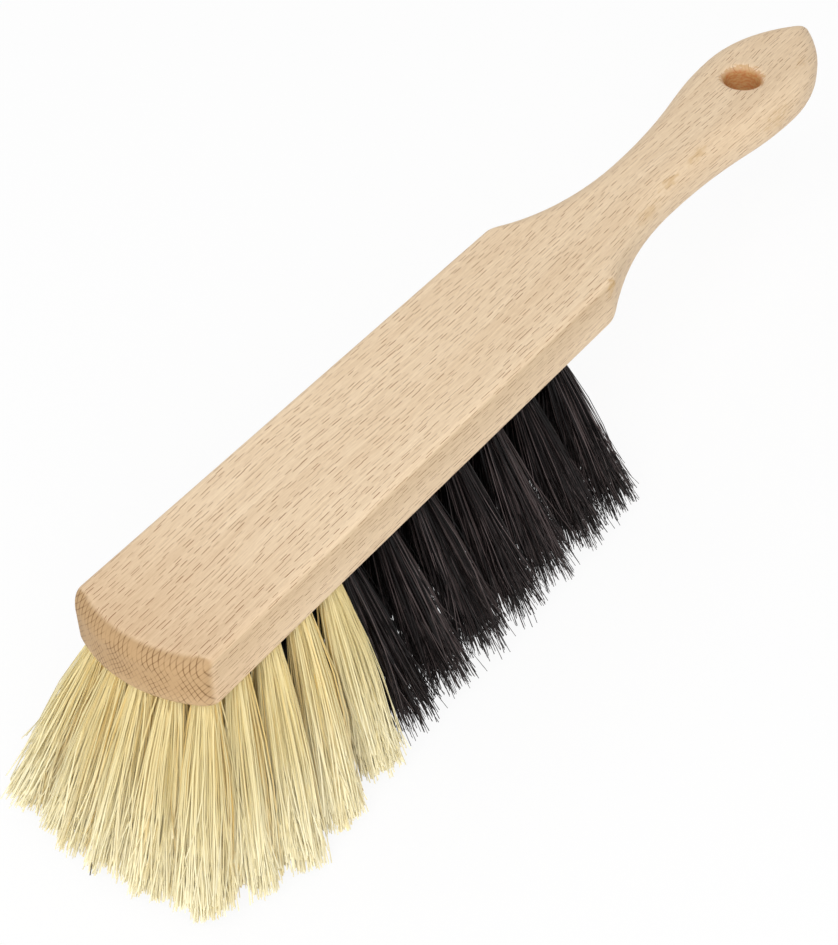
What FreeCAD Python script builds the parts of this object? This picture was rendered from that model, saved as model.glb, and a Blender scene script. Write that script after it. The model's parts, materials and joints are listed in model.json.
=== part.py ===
# Hand broom: a flat beech board, sawn to a block with a waisted handle and drilled from below.
# Each hole holds a folded tuft of bristle, and a short flat wire across the fold anchors it in the wood.
# X runs from the brush end to the handle's point, +Y is the left side, Z is up.
# The bristles are trimmed level at Z zero, and the origin is below the middle of the whole broom.
import FreeCAD
import Part
import math
import os

# Board, in millimetres
board_thickness = 14.0
block_width = 37.8
block_length = 160.6  # front end to the shoulders
neck_distance = 43.1  # shoulders to the narrowest place of the handle
neck_width = 19.8
grip_distance = 55.7  # narrowest to widest place of the handle
grip_width = 30.1
point_distance = 31.95  # widest place of the handle to its point
front_bow_radius = 36.0  # the front end is round, seen from above
front_corner_radius = 5.0
shoulder_corner_radius = 11.0
point_radius = 1.0
neck_flare_share = 0.63  # how much of the curve from neck to grip is hollow, the rest is round

# Rounded edges of the board
front_edge_radius = 4.0
front_under_radius = 2.6
block_edge_radius = 1.8
block_under_radius = 1.2
handle_edge_radius = 6.0

# Hole for hanging the broom up
hanging_hole_diameter = 9.6
hanging_hole_from_point = 37.0
hanging_hole_rim_radius = 2.6

# Tuft holes
hole_diameter = 5.5
hole_depth = 9.0
hole_wall = 1.2  # least wood between two neighbouring holes of the front row

# Tufts
bristle_height = 46.0  # underside of the board to the trimmed tips
tuft_clearance = 0.05  # between a tuft and its hole, all round
tuft_collar = 2.0  # length past the wood before a tuft starts to spread
tuft_gap = 0.3  # between the spread tips of neighbouring tufts, half on each side

# Front row, across the end of the block, and the shorter row behind it
front_inset = 6.4
front_side_inset = 5.0
front_reach = 20.9  # how far forward the tips stand of their holes
front_overhang = 6.5  # how far the tips of its outer tufts stand past the sides of the block
second_from_front = 7.8
second_reach = 16.0

# Pale side rows, one on each long side, just behind the front row
cream_side_count = 4
cream_side_inset = 4.7
cream_side_from_front = 11.8
cream_pitch = 10.5
cream_reach = 20.0
cream_spread = 21.3
cream_reach_shares = (1.0, 0.94, 0.74, 0.41)
cream_spread_shares = (0.82, 1.0, 1.0, 0.92)

# Dark side rows, from the pale ones to the end of the block
black_from_cream = 7.6
black_side_inset = 7.0
black_rear_inset = 19.6
black_least_pitch = 13.0
black_spread = 18.4
black_rear_reach = 3.0  # how far back the tips of the last tufts stand of their holes

# Dark middle rows, whose tufts stand in the gaps of the dark side rows and on forward
middle_from_second = 7.0
middle_least_pitch = 7.5  # between two rows
middle_spread_share = 1.0  # how far the tips stand out, for each place of a row off the middle
middle_front_reach = 9.0
middle_front_share = 0.3  # part of the row, at its front, that leans forward

# Anchor wires
anchor_length = 6.5
anchor_height = 1.8
anchor_thickness = 0.4
anchor_fold = 1.2  # bristle under the wire, where the tuft is folded
anchor_clearance = 0.03

# Length that a cutting tool runs past the face it cuts
overrun = 5.0

# Two places closer than this are the same place
same_place = 0.01

vector = FreeCAD.Vector
half_width = block_width / 2
neck_x = block_length + neck_distance
grip_x = neck_x + grip_distance
point_x = grip_x + point_distance
under_z = bristle_height
top_z = bristle_height + board_thickness
hole_radius = hole_diameter / 2
full_turn = 360
left_side = 1
right_side = -1
sides = (("left", left_side), ("right", right_side))


def front_bow(y):
    return front_bow_radius - math.sqrt(front_bow_radius ** 2 - y ** 2)


def flat_place(x, y):
    return vector(x, y, under_z)


def bend(start, end, centre):
    middle = (start + end) * 0.5 - centre
    middle.normalize()
    return Part.Arc(start, centre + middle * start.distanceToPoint(centre), end).toShape()


def radius_over(run, rise):
    # Radius of the arc that starts along the run and has climbed by the rise at its end
    return (run ** 2 + rise ** 2) / (2 * rise)


def side_outline(side):
    front = flat_place(front_bow(half_width), side * half_width)
    shoulder = flat_place(block_length, side * half_width)
    neck = flat_place(neck_x, side * neck_width / 2)
    grip = flat_place(grip_x, side * grip_width / 2)
    point = flat_place(point_x, 0)
    turn = neck + (grip - neck) * neck_flare_share
    shoulder_radius = radius_over(neck_distance, (block_width - neck_width) / 2)
    wave_radius = radius_over(grip_distance, (grip_width - neck_width) / 2)
    point_bow_radius = radius_over(point_distance, grip_width / 2)
    outward = vector(0, side, 0)
    return [
        Part.LineSegment(front, shoulder).toShape(),
        bend(shoulder, neck, neck + outward * shoulder_radius),
        bend(neck, turn, neck + outward * wave_radius * neck_flare_share),
        bend(turn, grip, grip - outward * wave_radius * (1 - neck_flare_share)),
        bend(grip, point, grip - outward * point_bow_radius),
    ]


def board_blank():
    front_x = front_bow(half_width)
    front = Part.Arc(flat_place(front_x, -half_width), flat_place(0, 0), flat_place(front_x, half_width))
    edges = [front.toShape()] + side_outline(left_side) + side_outline(right_side)
    face = Part.Face(Part.Wire(Part.__sortEdges__(edges)))
    return face.extrude(vector(0, 0, board_thickness))


def upright_edges(solid, x, y):
    found = []
    for edge in solid.Edges:
        low = edge.Vertexes[0].Point
        high = edge.Vertexes[-1].Point
        place = vector(x, math.copysign(y, low.y), low.z)
        if abs(high.z - low.z) > board_thickness / 2 and low.distanceToPoint(place) < same_place:
            found.append(edge)
    return found


def rounded_corners(blank):
    corners = (
        (front_bow(half_width), half_width, front_corner_radius),
        (block_length, half_width, shoulder_corner_radius),
        (point_x, 0, point_radius),
    )
    for x, y, radius in corners:
        blank = blank.makeFillet(radius, upright_edges(blank, x, y))
    return blank


def edge_radius(x, front_radius, block_radius):
    # One radius round the front end, one along the block, and from the shoulders to the neck a growing one
    if x < front_bow(half_width):
        return front_radius
    along = min(max((x - block_length) / neck_distance, 0), 1)
    return block_radius + (handle_edge_radius - block_radius) * math.sqrt(along)


def rounded_edges(solid):
    levels = (
        (top_z, front_edge_radius, block_edge_radius),
        (under_z, front_under_radius, block_under_radius),
    )
    radii = []
    for number, edge in enumerate(solid.Edges, 1):
        start = edge.valueAt(edge.FirstParameter)
        end = edge.valueAt(edge.LastParameter)
        for level, *level_radii in levels:
            if abs(start.z - level) + abs(end.z - level) < same_place:
                ends = [edge_radius(place.x, *level_radii) for place in (start, end)]
                radii.append((number, *ends))
    document = FreeCAD.newDocument("broom")
    base = document.addObject("Part::Feature", "sawn_board")
    base.Shape = solid
    rounded = document.addObject("Part::Fillet", "rounded_board")
    rounded.Base = base
    rounded.Edges = radii
    document.recompute()
    return rounded.Shape.Solids[0]


def mirrored(solid):
    # The left half of the board, and the same half mirrored
    length = point_x + 2 * overrun
    width = half_width + overrun
    height = board_thickness + 2 * overrun
    half = solid.common(Part.makeBox(length, width, height, vector(-overrun, 0, under_z - overrun)))
    return half.fuse(half.mirror(vector(0, 0, 0), vector(0, 1, 0))).removeSplitter().Solids[0]


def hanging_hole():
    # Cutter for the hole, flared at both ends so that the rims come out round
    radius = hanging_hole_diameter / 2
    rim = radius + hanging_hole_rim_radius
    low = under_z + hanging_hole_rim_radius
    high = top_z - hanging_hole_rim_radius
    corners = [vector(rim, 0, top_z), vector(0, 0, top_z), vector(0, 0, under_z), vector(rim, 0, under_z)]
    edges = [
        Part.makePolygon(corners),
        bend(corners[-1], vector(radius, 0, low), vector(rim, 0, low)),
        Part.LineSegment(vector(radius, 0, low), vector(radius, 0, high)).toShape(),
        bend(vector(radius, 0, high), corners[0], vector(rim, 0, high)),
    ]
    cutter = Part.Face(Part.Wire(edges)).revolve(vector(0, 0, 0), vector(0, 0, 1), full_turn)
    cutter.translate(vector(point_x - hanging_hole_from_point, 0, 0))
    return cutter


def spread_places(first, last, least_pitch):
    steps = max(int((last - first) / least_pitch), 1)
    pitch = (last - first) / steps
    return [first + pitch * step for step in range(steps + 1)], pitch


def tuft(name, x, y, reach_x, reach_y, tip_radius):
    mouth = vector(x, y, under_z)
    lean = vector(reach_x, reach_y, -bristle_height)
    turn = FreeCAD.Rotation(vector(1, 0, 0), vector(0, 0, 0), lean, "ZXY")
    place = FreeCAD.Placement(mouth, turn)
    return {"name": name, "length": lean.Length, "tip_radius": tip_radius, "place": place}


def front_rows():
    widest = half_width - front_side_inset
    row, pitch = spread_places(-widest, widest, hole_diameter + hole_wall)
    spread_share = (half_width + front_overhang) / widest - 1
    tip_radius = pitch * (1 + spread_share) / 2 - tuft_gap
    tufts = []
    for number, y in enumerate(row, 1):
        x = front_inset + front_bow(y)
        node = f"cream_front_tuft_{number}"
        tufts.append(tuft(node, x, y, -front_reach, y * spread_share, tip_radius))
    gaps = [y + pitch / 2 for y in row[1:-2]]
    for number, y in enumerate(gaps, 1):
        x = front_inset + second_from_front
        node = f"cream_second_tuft_{number}"
        tufts.append(tuft(node, x, y, -second_reach, y * spread_share, tip_radius))
    return tufts


def cream_side_x(number):
    return front_inset + cream_side_from_front + cream_pitch * number


def cream_side_rows():
    tip_radius = cream_pitch / 2 - tuft_gap / 2
    tufts = []
    for name, side in sides:
        y = side * (half_width - cream_side_inset)
        for number in range(cream_side_count):
            reach = -cream_reach * cream_reach_shares[number]
            spread = side * cream_spread * cream_spread_shares[number]
            node = f"cream_side_tuft_{name}_{number + 1}"
            tufts.append(tuft(node, cream_side_x(number), y, reach, spread, tip_radius))
    return tufts


def black_places():
    first = cream_side_x(cream_side_count - 1) + black_from_cream
    return spread_places(first, block_length - black_rear_inset, black_least_pitch)


def black_side_rows():
    row, pitch = black_places()
    tufts = []
    for name, side in sides:
        y = side * (half_width - black_side_inset)
        for number, x in enumerate(row, 1):
            reach = black_rear_reach * (x - row[0]) / (row[-1] - row[0])
            node = f"black_side_tuft_{name}_{number}"
            tufts.append(tuft(node, x, y, reach, side * black_spread, pitch / 2 - tuft_gap / 2))
    return tufts


def middle_reach(along):
    # Forward at the front of the row, upright in the middle, back at its end
    forward = max(middle_front_share - along, 0) / middle_front_share
    return black_rear_reach * along - middle_front_reach * forward


def black_middle_rows():
    side_row, pitch = black_places()
    front = front_inset + second_from_front + middle_from_second
    first = side_row[0] - pitch / 2
    ahead = int((first - front) / pitch)
    places = [first + pitch * (number - ahead) for number in range(ahead + len(side_row) + 1)]
    widest = half_width - black_side_inset
    rows = spread_places(-widest, widest, middle_least_pitch)[0]
    tufts = []
    for row, y in enumerate(rows[1:-1], 1):
        for number, x in enumerate(places, 1):
            reach = middle_reach((x - places[0]) / (places[-1] - places[0]))
            node = f"black_middle_tuft_{row}_{number}"
            tufts.append(tuft(node, x, y, reach, y * middle_spread_share, pitch / 2 - tuft_gap / 2))
    return tufts


def wire_block(clearance, top):
    # Box round an anchor wire, in the frame of its hole, where Z points out of the wood
    length = anchor_length + 2 * clearance
    thickness = anchor_thickness + 2 * clearance
    low = anchor_fold - hole_depth - clearance
    return Part.makeBox(length, thickness, top - low, vector(-length / 2, -thickness / 2, low))


def anchor_wire(item):
    wire = wire_block(0, anchor_fold - hole_depth + anchor_height)
    wire.Placement = item["place"]
    return wire


def drilled_hole(item):
    bore = Part.makeCylinder(hole_radius, hole_depth + overrun, vector(0, 0, -hole_depth))
    grooves = wire_block(anchor_clearance, overrun)
    hole = bore.fuse(grooves)
    hole.Placement = item["place"]
    return hole


def bristle_tuft(item):
    radius = hole_radius - tuft_clearance
    root = tuft_clearance - hole_depth
    spread_share = (item["tip_radius"] - radius) / (item["length"] - tuft_collar)
    end = item["length"] + item["tip_radius"] + overrun
    end_radius = radius + spread_share * (end - tuft_collar)
    profile = [
        vector(0, 0, root),
        vector(radius, 0, root),
        vector(radius, 0, tuft_collar),
        vector(end_radius, 0, end),
        vector(0, 0, end),
        vector(0, 0, root),
    ]
    solid = Part.Face(Part.makePolygon(profile)).revolve(vector(0, 0, 0), vector(0, 0, 1), full_turn)
    slot = wire_block(anchor_clearance, anchor_fold - hole_depth + anchor_height + anchor_clearance)
    solid = solid.cut(slot)
    solid.Placement = item["place"]
    reach = end + end_radius
    corner = vector(item["place"].Base.x - reach, item["place"].Base.y - reach, -reach)
    return solid.cut(Part.makeBox(2 * reach, 2 * reach, reach, corner))


def broom_body(tufts):
    board = mirrored(rounded_edges(rounded_corners(board_blank())))
    return board.cut([hanging_hole()] + [drilled_hole(item) for item in tufts]).Solids[0]


def build():
    tufts = front_rows() + cream_side_rows() + black_side_rows() + black_middle_rows()
    pieces = {"broom_body": broom_body(tufts)}
    pieces["anchor_wires"] = Part.makeCompound([anchor_wire(item) for item in tufts])
    for item in tufts:
        pieces[item["name"]] = bristle_tuft(item).Solids[0]
    box = Part.makeCompound(list(pieces.values())).optimalBoundingBox(False, False)
    os.makedirs("parts", exist_ok=True)
    for name, shape in pieces.items():
        shape.translate(vector(-box.Center.x, 0, 0))
        shape.exportStep(f"parts/{name}.step")
        print(name, len(shape.Solids), round(shape.Volume, 1), shape.isValid())
    print("whole broom", box)


build()
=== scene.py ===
import json
import math

import bpy
import numpy as np
from mathutils import Matrix, Vector


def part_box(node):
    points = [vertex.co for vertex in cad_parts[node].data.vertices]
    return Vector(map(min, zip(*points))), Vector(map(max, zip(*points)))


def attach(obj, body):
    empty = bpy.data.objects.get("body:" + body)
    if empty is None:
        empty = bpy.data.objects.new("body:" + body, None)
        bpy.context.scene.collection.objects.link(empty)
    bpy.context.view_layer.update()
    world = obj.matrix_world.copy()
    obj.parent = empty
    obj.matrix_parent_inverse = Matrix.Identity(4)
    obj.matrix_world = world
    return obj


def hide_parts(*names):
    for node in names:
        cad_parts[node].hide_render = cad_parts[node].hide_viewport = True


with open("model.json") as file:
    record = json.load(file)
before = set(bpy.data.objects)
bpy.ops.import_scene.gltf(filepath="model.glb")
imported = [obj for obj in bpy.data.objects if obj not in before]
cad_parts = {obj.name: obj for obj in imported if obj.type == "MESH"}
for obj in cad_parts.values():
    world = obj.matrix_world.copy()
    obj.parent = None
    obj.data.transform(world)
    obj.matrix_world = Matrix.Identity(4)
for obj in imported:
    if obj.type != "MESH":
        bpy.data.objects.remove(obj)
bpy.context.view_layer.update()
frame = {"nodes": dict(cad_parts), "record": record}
nodes = frame["nodes"]
bpy.ops.object.select_all(action="DESELECT")
print("frame loaded, CAD nodes:", len(nodes))


class Sock:
    # One socket of a node; sums on it add Math nodes to its tree

    def __init__(self, socket):
        self.socket = socket

    def out(self, name):
        return Sock(self.socket.node.outputs[name])

    def node(self, kind, settings, inputs, output=0):
        added = self.socket.id_data.nodes.new(kind)
        for name, value in settings.items():
            setattr(added, name, value)
        for name, value in inputs.items():
            feed(added.inputs[name], value)
        return Sock(added.outputs[output])

    def sum(self, operation, first, second=0.0):
        return self.node("ShaderNodeMath", {"operation": operation}, {0: first, 1: second})

    def __add__(self, other):
        return self.sum("ADD", self, other)

    def __sub__(self, other):
        return self.sum("SUBTRACT", self, other)

    def __rsub__(self, other):
        return self.sum("SUBTRACT", other, self)

    def __mul__(self, other):
        return self.sum("MULTIPLY", self, other)

    def __truediv__(self, other):
        return self.sum("DIVIDE", self, other)

    def __gt__(self, other):
        return self.sum("GREATER_THAN", self, other)

    def __lt__(self, other):
        return self.sum("LESS_THAN", self, other)

    def __abs__(self):
        return self.sum("ABSOLUTE", self)

    def fade(self, low, high):
        # 0 at low, 1 at high, soft at both ends
        return self.node("ShaderNodeMapRange", {"interpolation_type": "SMOOTHSTEP"},
                         {"Value": self, "From Min": low, "From Max": high})


def feed(socket, value):
    if isinstance(value, Sock):
        socket.id_data.links.new(value.socket, socket)
    elif isinstance(value, tuple) and socket.type == "RGBA":
        socket.default_value = (*value, 1.0)
    else:
        socket.default_value = value


def mixColour(factor, first, second, mode="MIX"):
    start = next(item for item in (factor, first, second) if isinstance(item, Sock))
    return start.node("ShaderNodeMix", {"data_type": "RGBA", "blend_type": mode},
                      {0: factor, 6: first, 7: second}, 2)


def newFinish(name):
    finish = bpy.data.materials.new(name)
    finish.use_nodes = True
    shader = finish.node_tree.nodes["Principled BSDF"]
    place = finish.node_tree.nodes.new("ShaderNodeTexCoord")
    return finish, shader, Sock(place.outputs["Object"])


def inMillimetres(place):
    scaled = place.node("ShaderNodeVectorMath", {"operation": "SCALE"}, {0: place, "Scale": 1000.0})
    parts = scaled.node("ShaderNodeSeparateXYZ", {}, {0: scaled})
    return parts.out("X"), parts.out("Y"), parts.out("Z")


def joinXyz(x, y, z):
    start = next(item for item in (x, y, z) if isinstance(item, Sock))
    return start.node("ShaderNodeCombineXYZ", {}, {"X": x, "Y": y, "Z": z})


def stretched(ways, factors):
    return joinXyz(*(way * factor for way, factor in zip(ways, factors)))


def lengthOf(vector):
    return vector.node("ShaderNodeVectorMath", {"operation": "LENGTH"}, {0: vector}, "Value")


def between(share, low, high):
    return share * (high - low) + low


def noise(vector, scale, detail=2.0, roughness=0.5):
    return vector.node("ShaderNodeTexNoise", {}, {"Vector": vector, "Scale": scale, "Detail": detail,
                                                 "Roughness": roughness})


# What the two sizes of fleck share: scatter in their cells, where ends and sides fade, the faintest colour
fleckShape = {"scatter": 0.72, "endFade": 0.60, "sideFade": 0.55, "faintest": 0.45}
# What both sets of lines in the end grain share: how they bend, and the patches in which they show
lineShape = {"bend": 0.12, "patch": 0.30, "patchFade": (0.30, 0.60)}
# The board, with lengths in millimetres from its middle
boardLook = {
    "pale": (0.815, 0.632, 0.432),
    "band": (0.760, 0.570, 0.376),
    "warm": (0.640, 0.435, 0.256),
    # Painted shade on the steep sides, strongest just below the top edge
    "side": (0.640, 0.470, 0.290),
    "endGrain": (0.460, 0.292, 0.142),
    "endLine": (0.200, 0.105, 0.040),
    "dash": (0.190, 0.045, 0.002),
    "stain": (0.560, 0.345, 0.125),
    "holeWall": (0.500, 0.180, 0.045),
    "roughness": (0.48, 0.68),
    "specular": 0.25,
    "relief": 0.3,
    "bump": 0.25,
    "bumpDepth": 0.0001,
    # Grain: changes per millimetre along and across the board, and the slice of the pattern
    "driftGrain": {"along": 0.012, "across": 0.02, "slice": 3.7, "detail": 2.0, "roughness": 0.5},
    "bandGrain": {"along": 0.006, "across": 0.11, "slice": 0.0, "detail": 3.0, "roughness": 0.6},
    "fineGrain": {"along": 0.05, "across": 2.4, "slice": 1.3, "detail": 3.0, "roughness": 0.6},
    "poreGrain": {"along": 0.35, "across": 5.5, "slice": 8.1, "detail": 2.0, "roughness": 0.6},
    "driftReach": 6.0,
    "bandFade": (0.38, 0.72),
    "bandShare": 0.8,
    "poreShare": 0.4,
    "shades": ((0.65, 1.35), (0.55, 1.45), (0.45, 1.55)),  # red, green and blue of light and dark grain
    # Warmer towards the front and, a little, the rear
    "warmFront": (-150.0, -85.0),
    "warmFrontShare": 0.8,
    "warmRear": (60.0, 125.0),
    "warmRearShare": 0.1,
    # Painted shade on the sides: how steep they are, and how far down and along the painted shade fades
    "sideSlope": (0.25, 0.75),
    "sideBelow": (2.0, 12.0),
    "sideAlong": (15.0, 60.0),
    "sideLoss": 0.8,
    "sideShare": 0.7,
    # Front end, cut across the grain; its colour weaker towards the bottom as painted light from below
    "endSlope": (0.14, 0.48),
    "endAlong": (-100.0, -90.0),
    "endBelow": (8.0, 14.0),
    "endLoss": 0.35,
    "endShare": 0.9,
    "rings": {**lineShape, "way": (0.75, 0.66), "spacing": 1.10, "share": 0.17, "wander": 1.6, "depth": 0.7},
    "rays": {**lineShape, "way": (0.94, -0.34), "spacing": 1.20, "share": 0.17, "wander": 0.9, "depth": 1.0},
    "lineShare": 0.95,
    # Flecks: how far apart they lie, half their lengths and widths, and the share that is left out
    "dashes": {**fleckShape, "pitch": 4.4, "row": 1.15, "shift": 0.0, "length": (1.2, 2.4),
               "width": (0.070, 0.105), "left": 0.15, "depth": 1.0},
    "flecks": {**fleckShape, "pitch": 2.6, "row": 0.65, "shift": 0.4, "length": (0.4, 1.0),
               "width": (0.05, 0.08), "left": 0.30, "depth": 0.2},
    "markAlong": (15.0, 70.0),
    "markLoss": 0.1,
    "markShare": 0.95,
    # Darker figure of the wood: place on the board, and how long and wide it is
    "stains": {
        "tearGrain": (0.45, 1.6, 0.8),
        "tearReach": 1.2,
        "fade": (0.1, 1.0),
        "deepness": 3.0,
        "spots": (
            {"place": (24.0, -18.4, 57.5), "length": 2.4, "width": 1.0, "depth": 0.9},
            {"place": (56.0, -9.8, 58.0), "length": 9.0, "width": 1.6, "depth": 0.30},
            {"place": (68.5, -7.9, 58.5), "length": 6.0, "width": 1.5, "depth": 0.45},
            {"place": (82.5, -8.0, 58.5), "length": 6.0, "width": 1.4, "depth": 0.40},
            {"place": (111.0, -15.0, 56.0), "length": 12.0, "width": 2.0, "depth": 0.35},
            {"place": (135.0, -9.5, 57.0), "length": 6.0, "width": 1.6, "depth": 0.40},
        ),
    },
    # Hanging hole: its wall, and the torn grain just outside its edge
    "hole": {
        "grain": (0.9, 0.9, 1.8),
        "grainFade": (0.35, 0.65),
        "edge": (0.1, 0.7),
        "tornEdge": (0.2, 1.1),
        "tornReach": 1.2,
        "stainShare": 0.8,
        "wallShare": 0.9,
        "tornShare": 0.6,
    },
}
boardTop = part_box("broom_body")[1].z * 1000.0
holePlace = [value * 1000.0 for value in frame["record"]["mounts"][0]["pos_m"]]
holeRadius = frame["record"]["mounts"][0]["dims"]["r_mm"]


def grain(along, across, look):
    place = joinXyz(along * look["along"], across * look["across"], look["slice"])
    return noise(place, 1.0, look["detail"], look["roughness"])


def dashes(along, across, look):
    # Short dark lines along the grain, each in its own cell, with its own length, width and depth of colour
    cells = joinXyz(along / look["pitch"], (across + look["shift"]) / look["row"], 0.0)
    spots = cells.node("ShaderNodeTexVoronoi", {"voronoi_dimensions": "2D", "feature": "F1"},
                       {"Vector": cells, "Scale": 1.0, "Randomness": look["scatter"]})
    chance = spots.node("ShaderNodeSeparateColor", {}, {0: spots.out("Color")})
    middle = spots.out("Position")
    away = spots.node("ShaderNodeVectorMath", {"operation": "SUBTRACT"}, {0: cells, 1: middle})
    parts = away.node("ShaderNodeSeparateXYZ", {}, {0: away})
    halfLength = between(chance.out("Red"), *look["length"])
    halfWidth = between(chance.out("Green"), *look["width"])
    lengthway = 1.0 - (abs(parts.out("X")) * look["pitch"] / halfLength).fade(look["endFade"], 1.0)
    sideways = 1.0 - (abs(parts.out("Y")) * look["row"] / halfWidth).fade(look["sideFade"], 1.0)
    kept = chance.out("Blue") > look["left"]
    darker = chance.out("Blue").fade(look["left"], 1.0)
    colour = darker * (1.0 - look["faintest"]) + kept * look["faintest"]
    return lengthway * sideways * colour * look["depth"]


def endLines(y, z, look):
    # Thin lines across the end of the board that wander a little and fade in places
    alongY, alongZ = look["way"]
    wander = noise(joinXyz(y * look["bend"], z * look["bend"], look["spacing"]), 1.0) * look["wander"]
    place = (y * alongY + z * alongZ) / look["spacing"] + wander
    line = abs(place.sum("FRACT", place) - 0.5).fade(0.5 - look["share"], 0.5)
    patches = noise(joinXyz(y, z, look["spacing"]), look["patch"]).fade(*look["patchFade"])
    return line * patches * look["depth"]


def stains(x, y, z, look):
    # Smudges with torn outlines, drawn out along the grain
    tear = noise(stretched((x, y, z), look["tearGrain"]), 1.0, 3.0, 0.6)
    torn = between(tear, -look["tearReach"], look["tearReach"])
    total = 0.0
    for spot in look["spots"]:
        atX, atY, atZ = spot["place"]
        depthway = (z - atZ) / (spot["width"] * look["deepness"])
        away = joinXyz((x - atX) / spot["length"], (y - atY) / spot["width"], depthway)
        total = (1.0 - (lengthOf(away) + torn).fade(*look["fade"])) * spot["depth"] + total
    return total


def beechFinish(look):
    finish, shader, place = newFinish("beech")
    x, y, z = inMillimetres(place)
    normal = place.out("Normal")
    facing = normal.node("ShaderNodeSeparateXYZ", {}, {0: normal})
    below = boardTop - z
    drift = grain(x, y, look["driftGrain"]) * look["driftReach"]
    across = y + below * ((y > 0.0) * 2.0 - 1.0) + drift  # runs on over the edges and down the sides

    bands = grain(x, across, look["bandGrain"]).fade(*look["bandFade"])
    fine = grain(x, across, look["fineGrain"])
    pores = grain(x, across, look["poreGrain"])
    colour = mixColour(bands * look["bandShare"], look["pale"], look["band"])
    warmFront = (1.0 - x.fade(*look["warmFront"])) * look["warmFrontShare"]
    warmRear = x.fade(*look["warmRear"]) * look["warmRearShare"]
    colour = mixColour(warmFront + warmRear, colour, look["warm"])
    # Painted shade: steep faces near the top edge and at the front take the darker side colour
    sides = 1.0 - abs(facing.out("Z")).fade(*look["sideSlope"])
    for way, fading in ((below, look["sideBelow"]), (x, look["sideAlong"])):
        sides = sides * (1.0 - way.fade(*fading) * look["sideLoss"])
    colour = mixColour(sides * look["sideShare"], colour, look["side"])
    shade = fine * (1.0 - look["poreShare"]) + pores * look["poreShare"]
    tint = joinXyz(*(between(shade, *limits) for limits in look["shades"]))
    colour = mixColour(1.0, colour, tint, "MULTIPLY")
    colour = mixColour(stains(x, y, z, look["stains"]), colour, look["stain"])

    ends = (facing.out("X") * -1.0).fade(*look["endSlope"]) * (1.0 - x.fade(*look["endAlong"]))
    # Painted light from below: the end grain colour weakens towards the bottom of the end
    endLitBelow = 1.0 - below.fade(*look["endBelow"]) * look["endLoss"]
    colour = mixColour(ends * endLitBelow * look["endShare"], colour, look["endGrain"])
    crossing = (endLines(y, z, look["rings"]) + endLines(y, z, look["rays"])) * ends
    colour = mixColour(crossing * look["lineShare"], colour, look["endLine"])
    marks = dashes(x, across, look["dashes"]) + dashes(x, across, look["flecks"])
    marks = marks * (1.0 - ends) * (1.0 - x.fade(*look["markAlong"]) * look["markLoss"])
    colour = mixColour(marks * look["markShare"], colour, look["dash"])

    hole = look["hole"]
    outside = lengthOf(joinXyz(x - holePlace[0], y - holePlace[1], 0.0)) - holeRadius
    turned = noise(stretched((x, y, z), hole["grain"]), 1.0, 3.0).fade(*hole["grainFade"])
    inHole = 1.0 - outside.fade(*hole["edge"])
    torn = (1.0 - (outside - turned * hole["tornReach"]).fade(*hole["tornEdge"])) * (1.0 - inHole)
    wall = mixColour(turned * hole["stainShare"], look["holeWall"], look["stain"])
    colour = mixColour(inHole * hole["wallShare"] + torn * hole["tornShare"], colour, wall)

    feed(shader.inputs["Base Color"], colour)
    feed(shader.inputs["Roughness"], between(shade, *look["roughness"]))
    shader.inputs["Specular IOR Level"].default_value = look["specular"]
    height = (shade - marks - crossing) * look["relief"]
    bump = height.node("ShaderNodeBump", {}, {"Height": height, "Strength": look["bump"],
                                              "Distance": look["bumpDepth"]})
    feed(shader.inputs["Normal"], bump)
    return finish


wireLook = {"dull": (0.50, 0.50, 0.51), "bright": (0.70, 0.70, 0.70), "roughness": (0.3, 0.5), "grain": 6.0}


def wireFinish(look):
    finish, shader, place = newFinish("anchorWire")
    drawn = noise(joinXyz(*inMillimetres(place)), look["grain"], 3.0)
    feed(shader.inputs["Base Color"], mixColour(drawn, look["dull"], look["bright"]))
    feed(shader.inputs["Roughness"], between(drawn, *look["roughness"]))
    shader.inputs["Metallic"].default_value = 1.0
    return finish


bristleMap = "OFBake"  # UV map of the bristles: a column for each tone, root to tip upwards
toneColumns = 32
strayColumn = 0  # kept for the single dark hairs
bristleSides = 3
bristleJoints = 4
floorGap = 0.0003  # lowest place of a bristle's centre line

# Tufts: colours of a bristle with painted light and shade, pale in the light and deep in the shade of the
# tuft, then shape and lie, with lengths in metres
creamTuft = {
    # Painted shade: golden roots under the block and deep golden bristles inside and under the tuft; painted
    # light: pale lit bristles and paler tips
    "root": (0.76, 0.56, 0.21),
    "rootShadeShares": (0.25, 0.90),
    "rootShadeFade": (0.0, 0.60),
    "pale": (0.81, 0.705, 0.385),
    "deep": (0.83, 0.57, 0.18),
    "deepFrom": (0.20, 1.0),
    "tip": (0.93, 0.855, 0.585),
    "tipShares": (0.95, 0.30),
    "tipFade": (0.35, 1.0),
    "stray": (0.03, 0.02, 0.015),
    "shades": (0.936, 1.016),
    "roughness": (0.42, 0.58),
    "specular": 0.4,
    "count": 900,
    "thickness": 0.00034,
    "thicknessSpread": (0.8, 1.2),
    "taper": 0.12,
    "rootFill": 0.9,
    "rootDepth": 0.002,
    "stiff": 0.42,
    "belly": 1.08,
    "clumps": 20,
    "clumpPull": 0.40,
    "scatter": 0.11,
    "flare": 1.10,
    "trim": 0.0030,
    "clumpTrim": 0.0030,
    "outerTrim": 0.0030,
    "ragged": 0.0080,
    "raggedShare": 0.15,
    "bend": 0.0012,
    "hook": 0.0012,
    "strayShare": 0.08,
    "strayReach": (1.1, 1.45),
    "litTone": 0.46,
    "clumpTone": 0.16,
    "mixedTone": 0.12,
}
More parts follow.
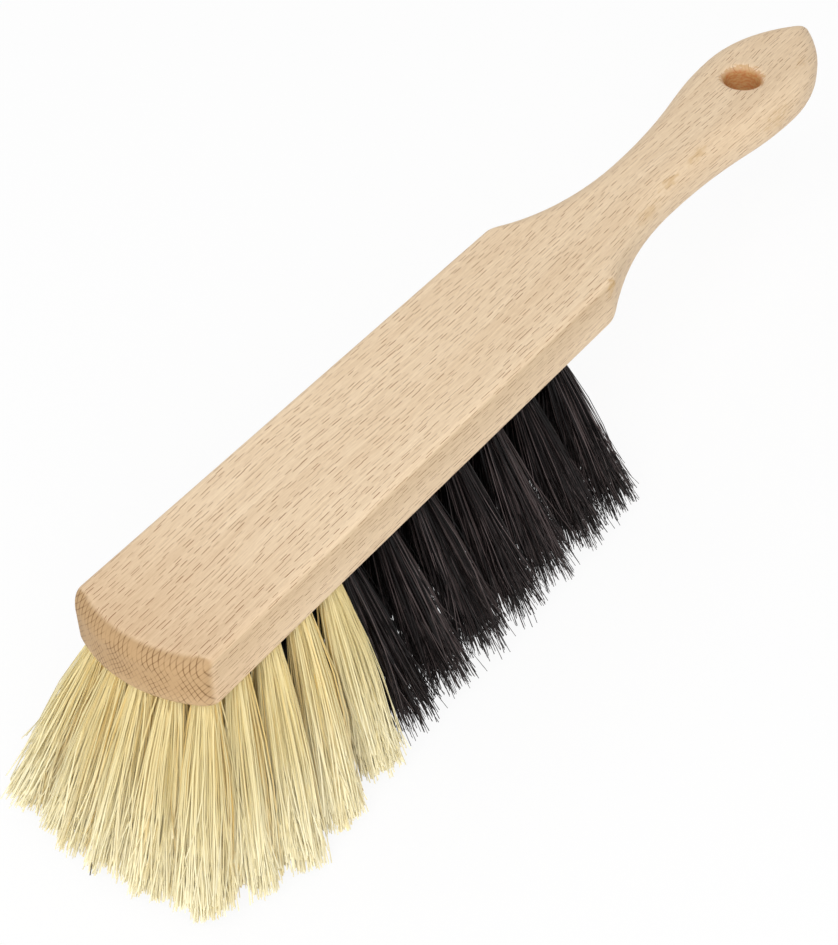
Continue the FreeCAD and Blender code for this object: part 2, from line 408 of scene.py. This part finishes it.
blackTuft = {
    # Painted highlight: a random share of the hairs take the pale colour as highlight lines; painted shade:
    # darker towards the root
    "root": (0.004, 0.003, 0.003),
    "rootShadeShares": (0.75, 0.75),
    "rootShadeFade": (0.0, 0.60),
    "pale": (0.185, 0.140, 0.136),
    "deep": (0.006, 0.004, 0.004),
    "deepFrom": (0.0, 0.30),
    "tip": (0.016, 0.012, 0.011),
    "tipShares": (0.5, 0.5),
    "tipFade": (0.35, 1.0),
    "shades": (0.6, 1.1),
    "roughness": (0.26, 0.42),
    "specular": 0.18,
    "count": 640,
    "thickness": 0.00025,
    "thicknessSpread": (0.8, 1.2),
    "taper": 0.25,
    "rootFill": 0.9,
    "rootDepth": 0.002,
    "stiff": 0.42,
    "belly": 1.08,
    "clumps": 60,
    "clumpPull": 0.45,
    "scatter": 0.09,
    "flare": 1.08,
    "trim": 0.0040,
    "clumpTrim": 0.0030,
    "outerTrim": 0.0015,
    "ragged": 0.0100,
    "raggedShare": 0.35,
    "bend": 0.0010,
    "hook": 0.0008,
    "strayShare": 0.08,
    "strayReach": (1.1, 1.5),
    "litTone": 0.05,
    "clumpTone": 0.1,
    "mixedTone": 0.6,
}
# A single dark hair at the outside of a cream tuft: the way that it stands out
strayHairs = {"cream_front_tuft_3": (-1.0, -0.2, 0.0)}


def bristleFinish(name, look):
    finish, shader, place = newFinish(name)
    mapped = place.node("ShaderNodeUVMap", {"uv_map": bristleMap}, {})
    parts = mapped.node("ShaderNodeSeparateXYZ", {}, {0: mapped})
    column = parts.out("X").sum("FLOOR", parts.out("X") * float(toneColumns))
    chance = column.node("ShaderNodeTexWhiteNoise", {"noise_dimensions": "1D"}, {"W": column + 0.5})
    tone = chance.node("ShaderNodeSeparateColor", {}, {0: chance.out("Color")})
    upBristle = parts.out("Y")
    # Painted light and shade: pale for lit bristles, deep for shaded ones, paler at the tip, darker at the
    # root
    depth = (column / float(toneColumns)).fade(*look["deepFrom"])
    colour = mixColour(depth, look["pale"], look["deep"])
    atTip = upBristle.fade(*look["tipFade"]) * between(depth, *look["tipShares"])
    colour = mixColour(atTip, colour, look["tip"])
    rootShade = (1.0 - upBristle.fade(*look["rootShadeFade"])) * between(depth, *look["rootShadeShares"])
    colour = mixColour(rootShade, colour, look["root"])
    shade = between(tone.out("Green"), *look["shades"])
    colour = mixColour(1.0, colour, joinXyz(shade, shade, shade), "MULTIPLY")
    if "stray" in look:
        colour = mixColour(column < strayColumn + 0.5, colour, look["stray"])
    feed(shader.inputs["Base Color"], colour)
    shader.inputs["Specular IOR Level"].default_value = look["specular"]
    feed(shader.inputs["Roughness"], between(tone.out("Blue"), *look["roughness"]))
    return finish


def modelBristle(joints):
    # One straight bristle, one unit long and one in radius; the others are bent copies of it
    bpy.ops.object.select_all(action="DESELECT")
    bpy.ops.mesh.primitive_cylinder_add(vertices=bristleSides, radius=1.0, depth=1.0, location=(0, 0, 0.5),
                                        end_fill_type="NGON")
    bristle = bpy.context.object
    bpy.ops.object.transform_apply(location=True, rotation=True, scale=True)
    bpy.ops.object.mode_set(mode="EDIT")
    bpy.ops.mesh.select_mode(type="EDGE")
    bpy.ops.mesh.select_all(action="DESELECT")
    bpy.ops.object.mode_set(mode="OBJECT")
    for edge in bristle.data.edges:  # joints go in the upright edges alone
        low, high = (bristle.data.vertices[index].co.z for index in edge.vertices)
        edge.select = abs(high - low) > 0.5
    bpy.ops.object.mode_set(mode="EDIT")
    bpy.ops.mesh.subdivide(number_cuts=joints)
    bpy.ops.mesh.select_all(action="SELECT")
    bpy.ops.mesh.normals_make_consistent(inside=False)
    bpy.ops.object.mode_set(mode="OBJECT")
    mesh = bristle.data
    points = np.array([vertex.co[:] for vertex in mesh.vertices])
    faces = [list(face.vertices) for face in mesh.polygons]
    bpy.data.objects.remove(bristle)
    bpy.data.meshes.remove(mesh)
    return points, faces


def bristleUv(points, faces):
    # Place of each face corner across and along the bristle, within its column
    firstCorner, flat = 90.0, 1e-4
    sideMargin, endMargin = 0.2, 0.02
    angles = np.degrees(np.arctan2(points[:, 1], points[:, 0])) - firstCorner
    around = np.round(angles / (360.0 / bristleSides)) % bristleSides
    corners = []
    for face in faces:
        steps = [int(around[index]) for index in face]
        heights = [points[index, 2] for index in face]
        level = max(heights) - min(heights) < flat
        wraps = 0 in steps and bristleSides - 1 in steps
        for step, height in zip(steps, heights):
            step = bristleSides / 2 if level else (bristleSides if wraps and step == 0 else step)
            sideways = sideMargin + (1 - 2 * sideMargin) * step / bristleSides
            corners.append((sideways, endMargin + (1 - 2 * endMargin) * height))
    return np.array(corners)


bristlePoints, bristleFaces = modelBristle(bristleJoints)
bristleCorners = bristleUv(bristlePoints, bristleFaces)
bristleHeights, bristleLevels = np.unique(np.round(bristlePoints[:, 2], 4), return_inverse=True)
bristleLoops = np.concatenate([np.array(face) for face in bristleFaces])
bristleStarts = np.cumsum([0] + [len(face) for face in bristleFaces[:-1]])
print("one bristle modelled, points:", len(bristlePoints), "faces:", len(bristleFaces))


def tuftShape(node):
    # Axis and radii of a tuft, read from its solid
    tipReach, topReach, ringReach = 1e-5, 0.001, 0.0004
    points = np.array([vertex.co[:] for vertex in node.data.vertices])
    tipRing = points[points[:, 2] < points[:, 2].min() + tipReach]
    tip = (tipRing.min(0) + tipRing.max(0)) / 2
    top = points[points[:, 2] > points[:, 2].max() - topReach].mean(0)
    along = (points - tip) @ ((top - tip) / np.linalg.norm(top - tip))
    rootRing = points[along > along.max() - ringReach]
    root = (rootRing.min(0) + rootRing.max(0)) / 2
    axis = (tip - root) / np.linalg.norm(tip - root)
    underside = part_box("broom_body")[0].z
    mouth = root + axis * (underside - root[2]) / axis[2]
    away = tipRing - tip
    away = away - np.outer(away @ axis, axis)
    return {
        "mouth": mouth,
        "tip": tip,
        "axis": axis,
        "holeRadius": np.linalg.norm(rootRing - root, axis=1).max(),
        "tipRadius": np.linalg.norm(away, axis=1).mean(),
    }


def crossWays(axis):
    first = np.cross(axis, (0.0, 1.0, 0.0))
    first = first / np.linalg.norm(first)
    return first, np.cross(axis, first)


def onDisc(rng, count):
    reach = np.sqrt(rng.random(count))
    turn = rng.random(count) * 2 * math.pi
    return np.stack((reach * np.cos(turn), reach * np.sin(turn)), 1)


def bristlePaths(shape, look, rng):
    # Centre line of each bristle of a tuft, at the heights of the modelled bristle's joints
    count = look["count"]
    first, second = crossWays(shape["axis"])
    disc = onDisc(rng, count)
    clumps = onDisc(rng, look["clumps"])
    clumpTrim = rng.random(look["clumps"]) * look["clumpTrim"]
    nearest = np.argmin(np.linalg.norm(disc[:, None] - clumps[None], axis=2), axis=1)
    tipDisc = disc * (1 - look["clumpPull"]) + clumps[nearest] * look["clumpPull"]
    tipDisc = tipDisc + rng.normal(0, look["scatter"], (count, 2))
    strays = rng.random(count) < look["strayShare"]
    strayReach = rng.uniform(*look["strayReach"], (count, 1))
    tipDisc = np.where(strays[:, None], tipDisc * strayReach, tipDisc)

    def spread(flat, radius):
        return (flat[:, :1] * first + flat[:, 1:] * second) * radius

    # Painted light and shade: bristles on the upper side of a leaning tuft take the pale, lit tones, those
    # below and inside the shaded ones
    topWay = np.array((first[2], second[2]))
    topWay = topWay / np.linalg.norm(topWay)
    lit = disc @ topWay
    clumpTone = rng.normal(0, look["clumpTone"], look["clumps"])
    tone = 0.5 - look["litTone"] * lit + clumpTone[nearest] + rng.normal(0, look["mixedTone"], count)
    columns = 1 + np.round(np.clip(tone, 0.0, 1.0) * (toneColumns - 2)).astype(int)

    rootAway = spread(disc, shape["holeRadius"] * look["rootFill"])
    ends = shape["tip"] + spread(tipDisc, shape["tipRadius"] * look["flare"])
    level = np.abs(rng.normal(0, look["trim"], count)) + clumpTrim[nearest]
    level = level + np.maximum(tipDisc @ topWay, 0.0) ** 2 * look["outerTrim"]
    ragged = rng.random(count) < look["raggedShare"]
    level = level + np.where(ragged, rng.random(count) ** 2 * look["ragged"], 0.0) + floorGap
    ends = ends + shape["axis"] * ((level - ends[:, 2]) / shape["axis"][2])[:, None]
    length = np.linalg.norm(shape["tip"] - shape["mouth"])
    starts = shape["mouth"] - shape["axis"] * look["rootDepth"] + rootAway
    middles = shape["mouth"] + shape["axis"] * length * look["stiff"] + rootAway * look["belly"]
    t = bristleHeights[None, :, None]
    paths = (1 - t) ** 2 * starts[:, None] + 2 * t * (1 - t) * middles[:, None] + t ** 2 * ends[:, None]
    bend = spread(rng.normal(0, look["bend"], (count, 2)), 1.0)
    hook = spread(rng.normal(0, look["hook"], (count, 2)), 1.0)
    paths = paths + np.sin(math.pi * t) * bend[:, None] + 2.0 * (t ** 3 - t ** 2) * hook[:, None]
    paths[:, :, 2] = np.maximum(paths[:, :, 2], floorGap)
    return paths, columns, first, second


def layBristles(name, paths, first, second, look, columns, rng):
    # Copies of the modelled bristle, each laid along its own path, in one mesh
    count = len(paths)
    width = look["thickness"] / 2 * rng.uniform(*look["thicknessSpread"], count)
    turn = rng.random(count) * 2 * math.pi
    sideX = np.cos(turn)[:, None] * bristlePoints[:, 0] - np.sin(turn)[:, None] * bristlePoints[:, 1]
    sideY = np.sin(turn)[:, None] * bristlePoints[:, 0] + np.cos(turn)[:, None] * bristlePoints[:, 1]
    thick = width[:, None] * (1 - look["taper"] * bristlePoints[:, 2])
    away = (thick * sideX)[:, :, None] * first + (thick * sideY)[:, :, None] * second
    points = paths[:, bristleLevels] + away
    loops = (bristleLoops + np.arange(count)[:, None] * len(bristlePoints)).ravel()
    starts = (bristleStarts + np.arange(count)[:, None] * len(bristleLoops)).ravel()
    uv = np.tile(bristleCorners, (count, 1, 1))
    uv[:, :, 0] = (columns[:, None] + uv[:, :, 0]) / toneColumns
    mesh = bpy.data.meshes.new(name)
    mesh.vertices.add(points.shape[0] * points.shape[1])
    mesh.vertices.foreach_set("co", points.astype(np.float32).ravel())
    mesh.loops.add(len(loops))
    mesh.loops.foreach_set("vertex_index", loops.astype(np.int32))
    mesh.polygons.add(len(starts))
    mesh.polygons.foreach_set("loop_start", starts.astype(np.int32))
    mesh.polygons.foreach_set("use_smooth", np.zeros(len(starts), bool))
    mesh.uv_layers.new(name=bristleMap).data.foreach_set("uv", uv.astype(np.float32).ravel())
    mesh.update(calc_edges=True)
    mesh.validate()
    piece = bpy.data.objects.new(name, mesh)
    bpy.context.collection.objects.link(piece)
    return piece


def addTuft(nodeName, look, finish, seed):
    rng = np.random.default_rng(seed)
    shape = tuftShape(nodes[nodeName])
    paths, columns, first, second = bristlePaths(shape, look, rng)
    if nodeName in strayHairs:
        columns[np.argmax(paths[:, -1] @ np.array(strayHairs[nodeName]))] = strayColumn
    piece = layBristles(nodeName.replace("tuft", "bristles"), paths, first, second, look, columns, rng)
    piece.data.materials.append(finish)
    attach(piece, "root")
    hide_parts(nodeName)


creamFinish = bristleFinish("creamBristle", creamTuft)
blackFinish = bristleFinish("blackBristle", blackTuft)
for seed, nodeName in enumerate(sorted(nodes)):
    if nodeName.startswith("cream"):
        addTuft(nodeName, creamTuft, creamFinish, seed)
    elif nodeName.startswith("black"):
        addTuft(nodeName, blackTuft, blackFinish, seed)
print("bristles laid")

for nodeName, finish in (("broom_body", beechFinish(boardLook)), ("anchor_wires", wireFinish(wireLook))):
    nodes[nodeName].data.materials.clear()
    nodes[nodeName].data.materials.append(finish)
print("wood and wire finished")


floorLook = {"size": 30.0, "colour": (0.95, 0.95, 0.95), "roughness": 0.9, "ownLight": 0.90}
skyLook = {"colour": (1.0, 1.0, 1.0), "strength": 0.53}
lampAim = (0.0, 0.0, 0.04)
lampLooks = (
    {"name": "frontSoftbox", "place": (-0.80, -0.43, 1.00), "size": 1.1, "power": 10.3},
    {"name": "lowSoftbox", "place": (-0.92, -0.92, 0.34), "size": 0.8, "power": 3.5},
    {"name": "leftSoftbox", "place": (-0.2, 1.0, 0.9), "size": 0.8, "power": 1.5},
)
photoCamera = {
    "imageSize": (838, 945),
    "focalPixels": 2210.3,
    "place": (-0.34190, -0.24154, 0.39468),
    "azimuth": 217.909,
    "elevation": 42.935,
    "roll": 2.49,
    "sensorHeight": 24.0,
    "nearest": 0.01,
}


def seenRays(tree):
    # 1 where the camera sees a surface, straight or by reflection or through glass
    rays = Sock(tree.nodes.new("ShaderNodeLightPath").outputs["Is Camera Ray"])
    return (rays + rays.out("Is Glossy Ray") + rays.out("Is Transmission Ray")).fade(0.0, 1.0)


def addFloor(look):
    bpy.ops.object.select_all(action="DESELECT")
    bpy.ops.mesh.primitive_plane_add(size=look["size"], location=(0, 0, 0))
    floor = bpy.context.object
    floor.name = "floor"
    paint = bpy.data.materials.new("paleFloor")
    paint.use_nodes = True
    tree = paint.node_tree
    shader = tree.nodes["Principled BSDF"]
    feed(shader.inputs["Base Color"], look["colour"])
    shader.inputs["Roughness"].default_value = look["roughness"]
    shader.inputs["Specular IOR Level"].default_value = 0.0
    seen = seenRays(tree)
    glow = seen.node("ShaderNodeEmission", {}, {"Color": (1.0, 1.0, 1.0), "Strength": 1.0})
    share = seen * look["ownLight"]
    both = seen.node("ShaderNodeMixShader", {}, {0: share, 1: Sock(shader.outputs[0]), 2: glow})
    feed(tree.nodes["Material Output"].inputs["Surface"], both)
    floor.data.materials.append(paint)


def addSky(look):
    world = bpy.data.worlds.new("studio")
    world.use_nodes = True
    back = world.node_tree.nodes["Background"]
    feed(back.inputs["Color"], look["colour"])
    feed(back.inputs["Strength"], between(seenRays(world.node_tree), look["strength"], 1.0))
    bpy.context.scene.world = world


def addLamp(look):
    light = bpy.data.lights.new(look["name"], "AREA")
    light.shape = "SQUARE"
    light.size = look["size"]
    light.energy = look["power"]
    lamp = bpy.data.objects.new(look["name"], light)
    bpy.context.collection.objects.link(lamp)
    lamp.location = look["place"]
    toAim = Vector(lampAim) - Vector(look["place"])
    lamp.rotation_euler = toAim.to_track_quat("-Z", "Y").to_euler()


def addCamera(look):
    turn, rise, roll = (math.radians(look[key]) for key in ("azimuth", "elevation", "roll"))
    back = Vector((math.cos(rise) * math.cos(turn), math.cos(rise) * math.sin(turn), math.sin(rise)))
    right = Vector((0, 0, 1)).cross(back).normalized()
    down = right.cross(back)
    tilted = right * math.cos(roll) + down * math.sin(roll)
    below = down * math.cos(roll) - right * math.sin(roll)
    lens = bpy.data.cameras.new("photoCamera")
    lens.sensor_fit = "VERTICAL"
    lens.sensor_height = look["sensorHeight"]
    lens.lens = look["focalPixels"] * look["sensorHeight"] / look["imageSize"][1]
    lens.clip_start = look["nearest"]
    camera = bpy.data.objects.new("photoCamera", lens)
    bpy.context.collection.objects.link(camera)
    turned = Matrix((tilted, -below, back)).transposed().to_4x4()
    camera.matrix_world = Matrix.Translation(look["place"]) @ turned
    bpy.context.scene.camera = camera


addFloor(floorLook)
addSky(skyLook)
for lampLook in lampLooks:
    addLamp(lampLook)
addCamera(photoCamera)
bpy.context.scene.view_settings.view_transform = "Standard"
print("floor, light and camera set")
